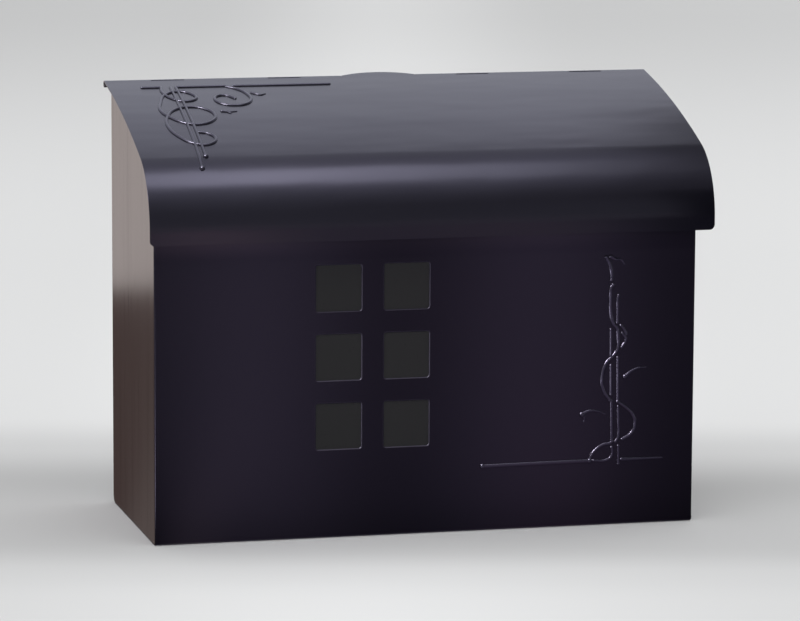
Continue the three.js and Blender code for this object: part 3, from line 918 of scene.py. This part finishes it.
# %% Zinc, acrylic and rubber
def plain_finish(name, colour, metallic, roughness, grain):
    """A finish with a fine grain; grain is its size in millimetres."""
    material, shader = new_material(name)
    shader.inputs["Base Color"].default_value = linear(colour)
    shader.inputs["Metallic"].default_value = metallic
    place = add_node(material, "ShaderNodeTexCoord").outputs["Object"]
    speckle = add_node(material, "ShaderNodeTexNoise", links={"Vector": place}, scale=1 / (grain * MM),
                       detail=3, roughness=0.5).outputs["Fac"]
    gloss = add_node(material, "ShaderNodeMapRange", links={"Value": speckle}, to_min=roughness - 0.06,
                     to_max=roughness + 0.06)
    join(material, gloss.outputs["Result"], shader.inputs["Roughness"])
    relief = add_node(material, "ShaderNodeBump", links={"Height": speckle}, strength=0.2,
                      distance=0.01 * MM)
    join(material, relief.outputs["Normal"], shader.inputs["Normal"])
    return material


# Bright and soft, with a fine sparkle.
zinc = plain_finish("zinc_plated_steel", "#c3c5c8", 1, 0.35, 0.4)
# Nearly black and a little green, with a satin face that mirrors softly.
acrylic = plain_finish("smoked_acrylic_sheet", "#1f201b", 0, 0.3, 1.5)
# Black and matt.
rubber = plain_finish("moulded_black_rubber", "#161616", 0, 0.85, 0.3)
print("materials:", zinc.name, acrylic.name, rubber.name)

# %% [markdown]
# ## Dressing the pieces
# A new piece gets its material directly. A solid keeps its mesh, and only what is in its material slots
# changes. The back plate is brushed like the lid.

# %% Dress the pieces and the solids
def dress(piece, material):
    piece.data.materials.clear()
    piece.data.materials.append(material)


def dress_node(name, material):
    for slot in frame["nodes"][name].material_slots:
        slot.material = material


dress(front_skin, bronze_front)
dress(lid_skin, bronze_lid)
# The lighter colour of both ornaments is a painted highlight.
dress(front_ornament, front_lines_painted_highlight)
dress(lid_ornament, lid_lines_painted_highlight)
for name in frame["nodes"]:
    if name.startswith(("pane_stud", "push_nut")) or name == "hinge_rod":
        dress_node(name, zinc)
    elif name.startswith("lid_bumper"):
        dress_node(name, rubber)
    elif name == "window_pane":
        dress_node(name, acrylic)
    elif name.startswith("side_panel"):
        dress_node(name, bronze_upright)
    elif name == "back_plate":
        dress_node(name, bronze_lid)
print("dressed", len(frame["nodes"]), "nodes and 4 pieces")

# %% [markdown]
# The rims of the squares are part of the front sheet, so their lighter finish, a painted highlight, goes in
# a second material slot of that sheet. The faces between the outer face and the punched wall are picked and
# given that slot.

# %% Painted highlight on the rims of the squares
def on_rounded_rim(at):
    return 0.005 * MM < at.y - FRONT_Y < RIM_ROUND and -CORNER_REACH < past_square(at) < RIM_ROUND


front_skin.data.materials.append(rims_painted_highlight)
edit(front_skin)
# These faces get the lighter colour, a painted highlight along the rims.
lightened = pick("FACE", on_rounded_rim)
front_skin.active_material_index = 1
bpy.ops.object.material_slot_assign()
leave()
print("faces worn at the rims:", lightened)

# %% [markdown]
# ## The table
# The box stands on a wide pale table in a plain studio. Light falls on such a table in soft bands: a
# darker one behind the box, a paler one in front, and a brighter middle. The bands could come from many
# lamps, but lamps would show in the lacquer, so they are in the table's own colour: one ramp in depth
# times one ramp sideways.

# %% A direction to shade along
def object_axis(material, axis, low, high, turn=0):
    """One object coordinate, turned about Z by some degrees and mapped so that low is 0 and high is 1."""
    place = add_node(material, "ShaderNodeTexCoord").outputs["Object"]
    turned = add_node(material, "ShaderNodeMapping", links={"Vector": place},
                      rotation=(0, 0, math.radians(turn)))
    parts = add_node(material, "ShaderNodeSeparateXYZ", links={"Vector": turned.outputs["Vector"]})
    share = add_node(material, "ShaderNodeMapRange", links={"Value": parts.outputs[axis]}, from_min=low,
                     from_max=high)
    return share.outputs["Result"]


print("directions are ready")

# %% [markdown]
# The table top is matt laminate, so it has no gloss at all and a smooth surface. The bands run across the
# line of sight, which is turned by 14 degrees. From 1 m before the wall to 5 m behind it, one metre is a
# sixth of the depth ramp.

# %% Table
ALONG_SIGHT = 14
floor = new_primitive("floor", bpy.ops.mesh.primitive_plane_add, size=40, location=(0, 0, UNDERSIDE))
settle(floor)
table_top, shader = new_material("pale_table_top")
shader.inputs["Roughness"].default_value = 0.9
shader.inputs["Specular IOR Level"].default_value = 0
shade = add_node(table_top, "ShaderNodeValToRGB",
                 links={"Fac": object_axis(table_top, "Y", -1, 5, turn=ALONG_SIGHT)},
                 stops=[(0, "#e3e3e3"), (0.105, "#e3e3e3"), (0.118, "#dedede"), (0.133, "#cecece"),
                        (0.154, "#d1d1d1"), (0.172, "#c7c7c7"), (0.194, "#dbdbdb"), (0.216, "#eaeaea"),
                        (0.38, "#e7e7e7"), (0.86, "#cecece")])
middle = add_node(table_top, "ShaderNodeValToRGB",
                  links={"Fac": object_axis(table_top, "X", -0.8, 0.8, turn=ALONG_SIGHT)},
                  stops=[(0, 0.94), (0.3, 0.98), (0.5, 1.17), (0.7, 1), (1, 1.04)])
both = add_node(table_top, "ShaderNodeMixRGB", blend_type="MULTIPLY", fac=1,
                links={"Color1": shade.outputs["Color"], "Color2": middle.outputs["Color"]})
join(table_top, both.outputs["Color"], shader.inputs["Base Color"])
dress(floor, table_top)
print("table at", round(UNDERSIDE, 5))

# %% [markdown]
# ## Light
# The room is what the lacquer mirrors. Behind the box the walls are pale, in front the room is dim, and
# the ceiling is bright. It could be built from walls, but a world that is shaded by direction is simpler
# and has no corners. Only mirrored rays see it so. The table and all that isn't glossy see an even pale
# room.

# %% Room
COOL_TINT = (0.97, 1, 1.13, 1)
world = bpy.data.worlds.new("studio_room")
bpy.context.scene.world = world
world.use_nodes = True
sky = world.node_tree.nodes["Background"]
look = add_node(world, "ShaderNodeTexCoord")
direction = add_node(world, "ShaderNodeSeparateXYZ", links={"Vector": look.outputs["Generated"]})
# A place on these ramps is the sine of the angle above the horizon.
front_room = add_node(world, "ShaderNodeValToRGB", links={"Fac": direction.outputs["Z"]},
                      stops=[(0, 0.3), (0.37, 0.29), (0.6, 0.42), (0.76, 0.66), (0.86, 1), (1, 1)])
back_room = add_node(world, "ShaderNodeValToRGB", links={"Fac": direction.outputs["Z"]},
                     stops=[(0, 0.86), (0.42, 0.86), (0.58, 1.18), (0.66, 1.3), (0.72, 1.2), (0.79, 0.66),
                            (0.88, 0.85), (1, 1)])
behind = add_node(world, "ShaderNodeMapRange", links={"Value": direction.outputs["Y"]}, from_min=-0.15,
                  from_max=0.15)
mirrored = add_node(world, "ShaderNodeMixRGB",
                    links={"Fac": behind.outputs["Result"], "Color1": front_room.outputs["Color"],
                           "Color2": back_room.outputs["Color"]})
cool = add_node(world, "ShaderNodeMixRGB", blend_type="MULTIPLY", fac=1, color2=COOL_TINT,
                links={"Color1": mirrored.outputs["Color"]})
ray = add_node(world, "ShaderNodeLightPath")
seen = add_node(world, "ShaderNodeMixRGB", color1=linear("#b6b7b8"),
                links={"Fac": ray.outputs["Is Glossy Ray"], "Color2": cool.outputs["Color"]})
join(world, seen.outputs["Color"], sky.inputs["Color"])
sky.inputs["Strength"].default_value = 1
print("room strength", sky.inputs["Strength"].default_value)

# %% [markdown]
# A wide ceiling light and the even room light the table and all that is matt. The ceiling light is a sun
# with a very large disc, because its light is the same everywhere and its shadows are soft. One softbox
# stands high on the left. Only gloss sees it, and it draws the edges of the raised lines.

# %% Lamps
def softbox(name, size, place, target, radiance, colour):
    """A square lamp for gloss alone; its power follows from how bright its face should look."""
    bpy.ops.object.light_add(type="AREA", location=place)
    lamp = bpy.context.object
    lamp.name = name
    lamp.rotation_euler = (Vector(target) - Vector(place)).to_track_quat("-Z", "Y").to_euler()
    lamp.data.shape = "RECTANGLE"
    lamp.data.size = size
    lamp.data.size_y = size
    lamp.data.energy = math.pi * size * size * radiance
    lamp.data.color = colour
    lamp.visible_camera = False
    lamp.visible_diffuse = False
    return lamp


CEILING_GREY = 0.49
CEILING_WIDTH = 80
bpy.ops.object.light_add(type="SUN", location=(0, 0, 3), rotation=(math.radians(12), 0, 0))
ceiling = bpy.context.object
ceiling.name = "ceiling_light"
ceiling.data.energy = CEILING_GREY * math.pi
ceiling.data.angle = math.radians(CEILING_WIDTH)
ceiling.visible_glossy = False
line_light = softbox("left_softbox", 0.8, (-1.3, -0.9, 1.4), (0.1, -0.16, 0), 33, (1, 0.99, 1))
print("lamps:", [(lamp.name, round(lamp.data.energy, 1)) for lamp in (ceiling, line_light)])

# %% [markdown]
# ## Cards
# Lacquered metal is dark or bright by what it mirrors. In a studio that is steered with cards round the
# object, and here too: each card is a plane with an emission, and only mirrored rays see it. It throws no
# light on the table and no shadow, so each place of the box can be toned alone. A lamp would do for an
# even card, but a ramp along its face is easier on a plane.

# %% Making a card
def mirrored_only(piece, material):
    settle(piece)
    piece.visible_camera = piece.visible_diffuse = False
    piece.visible_shadow = piece.visible_transmission = False
    dress(piece, material)


def card(name, x, y, height, material):
    """A level card between two x and two y places, at a height above the table."""
    low_x, high_x = x
    low_y, high_y = y
    piece = new_primitive(name, bpy.ops.mesh.primitive_plane_add, size=1)
    piece.scale = (high_x - low_x, high_y - low_y, 1)
    piece.location = ((low_x + high_x) / 2, (low_y + high_y) / 2, UNDERSIDE + height)
    mirrored_only(piece, material)


def card_material(name):
    material = bpy.data.materials.new(name)
    material.use_nodes = True
    material.node_tree.nodes.remove(material.node_tree.nodes["Principled BSDF"])
    glow = add_node(material, "ShaderNodeEmission")
    output = material.node_tree.nodes["Material Output"]
    join(material, glow.outputs["Emission"], output.inputs["Surface"])
    return material, glow


print("cards are ready")

# %% [markdown]
# The upright front mirrors the table before it, so a wide card lies there, a tenth of a millimetre up.
# Its colours run across in soft bands, a blue one and a plum one, and its strength falls off close to the
# box and rises where the top of the front mirrors it.

# %% The card that the front mirrors
ON_TABLE = 0.1 * MM
ACROSS_SIGHT = -14
front_card, glow = card_material("front_card")
bands = add_node(front_card, "ShaderNodeValToRGB",
                 links={"Fac": object_axis(front_card, "X", -0.54, 0.46, turn=ACROSS_SIGHT)},
                 stops=[(0.29, "#505065"), (0.33, "#afa6b5"), (0.37, "#908b9e"), (0.5, "#938ea4"),
                        (0.6, "#95869e"), (0.66, "#81798e"), (0.74, "#6c697c")])
contact = add_node(front_card, "ShaderNodeValToRGB", links={"Fac": object_axis(front_card, "Y", -2, -0.2)},
                   stops=[(0.16, 1.05), (0.24, 2.1), (0.29, 2.2), (0.33, 0.88), (0.5, 1), (0.72, 1.02),
                          (0.86, 0.95), (0.95, 0.75), (1, 0.5)])
join(front_card, bands.outputs["Color"], glow.inputs["Color"])
join(front_card, contact.outputs["Color"], glow.inputs["Strength"])
card("front_card", (-3, 3), (-5, -0.158), ON_TABLE, front_card)
print("card for the front placed")

# %% [markdown]
# The lid's apron overhangs, so it mirrors a lower strip of the room. One card on the table can't serve
# both it and the front, so its own card hangs close in front, where the front itself looks past it.

# %% The card that the apron mirrors
apron_card, glow = card_material("apron_card")
patches = add_node(apron_card, "ShaderNodeValToRGB",
                   links={"Fac": object_axis(apron_card, "X", -0.25, 0.25)},
                   stops=[(0.06, "#908697"), (0.22, "#dac2ce"), (0.42, "#9e93a4"), (0.75, "#ad9ead"),
                          (0.85, "#8b8195"), (0.91, "#4b4b59")])
join(apron_card, patches.outputs["Color"], glow.inputs["Color"])
card("apron_card", (-0.25, 0.6), (-0.5, -0.25), 200 * MM, apron_card)
print("card for the apron placed")

# %% [markdown]
# The raised upright lines have sides that face left. They catch a narrow, bright card on the left of the
# table, and stand out as thin light lines.

# %% The card that the upright lines mirror
line_card, glow = card_material("line_card")
fall = add_node(line_card, "ShaderNodeValToRGB", links={"Fac": object_axis(line_card, "Y", -1.4, -0.2)},
                stops=[(0, 2.2), (0.4, 2.9), (0.6, 4.4), (0.7, 4)])
glow.inputs["Color"].default_value = linear("#f5f5ff")
join(line_card, fall.outputs["Color"], glow.inputs["Strength"])
card("line_card", (-0.5, -0.25), (-1.4, -0.22), 1 * MM, line_card)
print("card for the upright lines placed")

# %% [markdown]
# The long highlight on the lid's nose is a narrow card high over the front of the box. It fades to the
# right without a step, so its ramp is straight between the stops.

# %% The card that the lid mirrors
lid_card, glow = card_material("lid_card")
fading = add_node(lid_card, "ShaderNodeValToRGB", links={"Fac": object_axis(lid_card, "X", -1, 1)},
                  between="LINEAR",
                  stops=[(0.49, "#cbced4"), (0.56, "#f3f6fd"), (0.62, "#cbced4"), (0.68, "#adb1b6"),
                         (0.74, "#737477"), (0.78, 0)])
join(lid_card, fading.outputs["Color"], glow.inputs["Color"])
glow.inputs["Strength"].default_value = 4.9
card("lid_card", (-1, 0.6), (-0.64, -0.11), 1.3, lid_card)
print("card for the lid placed")

# %% [markdown]
# The left side mirrors the table beside it: dark and warm near the box, and pale a metre behind, which
# gives the side its bright upper half. A second ramp lifts the strip next to the box.

# %% The card that the left side mirrors
left_card, glow = card_material("left_card")
edge = add_node(left_card, "ShaderNodeValToRGB", links={"Fac": object_axis(left_card, "Y", 0, 2)},
                stops=[(0, "#635350"), (0.49, "#635350"), (0.53, "#e6dbd7")])
added = add_node(left_card, "ShaderNodeValToRGB",
                 links={"Fac": object_axis(left_card, "X", -0.19, -0.23, turn=ACROSS_SIGHT)},
                 stops=[(0, 0), (1, "#575553")])
total = add_node(left_card, "ShaderNodeMixRGB", blend_type="ADD", fac=1,
                 links={"Color1": edge.outputs["Color"], "Color2": added.outputs["Color"]})
join(left_card, total.outputs["Color"], glow.inputs["Color"])
card("left_card", (-4, -0.2005), (-0.16, 6), ON_TABLE, left_card)
print("card for the left side placed")

# %% [markdown]
# Towards its right end the lid turns dark. Two dim cards hang over that end in place of the bright
# ceiling, and a small upright flag before the nose ends the highlight there.

# %% Cards that dim the lid's right end
DIM_HEIGHT = 1.05
dim_card, glow = card_material("dim_card")
glow.inputs["Color"].default_value = linear("#7c7c85")
card("dim_card", (0.42, 2.2), (-2, 0.45), DIM_HEIGHT, dim_card)
card("rear_dim_card", (0.52, 2.2), (0.45, 0.8), DIM_HEIGHT, dim_card)
flag, glow = card_material("flag_card")
glow.inputs["Color"].default_value = linear("#30303f")
nose_flag = new_primitive("nose_flag", bpy.ops.mesh.primitive_plane_add, size=1)
nose_flag.rotation_euler = (math.radians(90), 0, 0)
nose_flag.scale = (0.36, 0.18, 1)
nose_flag.location = (0.42, -0.36, UNDERSIDE + 0.3)
mirrored_only(nose_flag, flag)
print("dim cards and flag placed")

# %% [markdown]
# ## Camera
# The camera stands about three metres away, a little to the left and above the lid, and looks slightly
# down. A short lens would stand closer and splay the upright edges. A long one keeps them nearly parallel.

# %% Camera
CAMERA_PLACE = (-0.7742, -3.1482, 0.4998)
CAMERA_TURN = (80.917, -0.28, -14.112)
LENS = 196.19
bpy.ops.object.camera_add(location=CAMERA_PLACE, rotation=[math.radians(angle) for angle in CAMERA_TURN])
camera = bpy.context.object
camera.data.lens = LENS
camera.data.sensor_width = 36
bpy.context.scene.camera = camera
bpy.context.scene.view_settings.view_transform = "Standard"
print("camera lens, mm:", round(camera.data.lens, 2))
